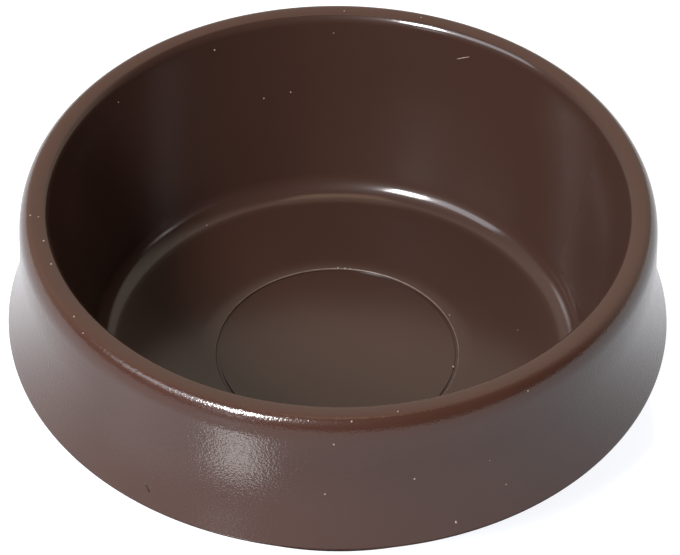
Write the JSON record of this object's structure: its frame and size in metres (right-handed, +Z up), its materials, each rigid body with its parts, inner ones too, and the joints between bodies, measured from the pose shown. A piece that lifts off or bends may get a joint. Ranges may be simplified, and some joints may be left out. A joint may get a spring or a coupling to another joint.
{
  "type": "castor cup",
  "caption": "Round brown plastic cup with a rounded rim, a flared skirt and a coved floor; it stands under a furniture castor and spreads its load.",
  "frame": {"origin": "centre of the foot's flat underside, on the surface that the cup stands on", "axes": "+Z up along the cup's axis of revolution, towards the open mouth; +X and +Y are free directions in the level plane"},
  "size_m": [0.06, 0.06, 0.0209],
  "materials": {
    "brown_plastic": "moulded, fine satin texture outside and on the rim, smooth and glossy inside the cup"
  },
  "bodies": {
    "root": {"castor_cup": "brown_plastic"}
  },
  "joints": []
}
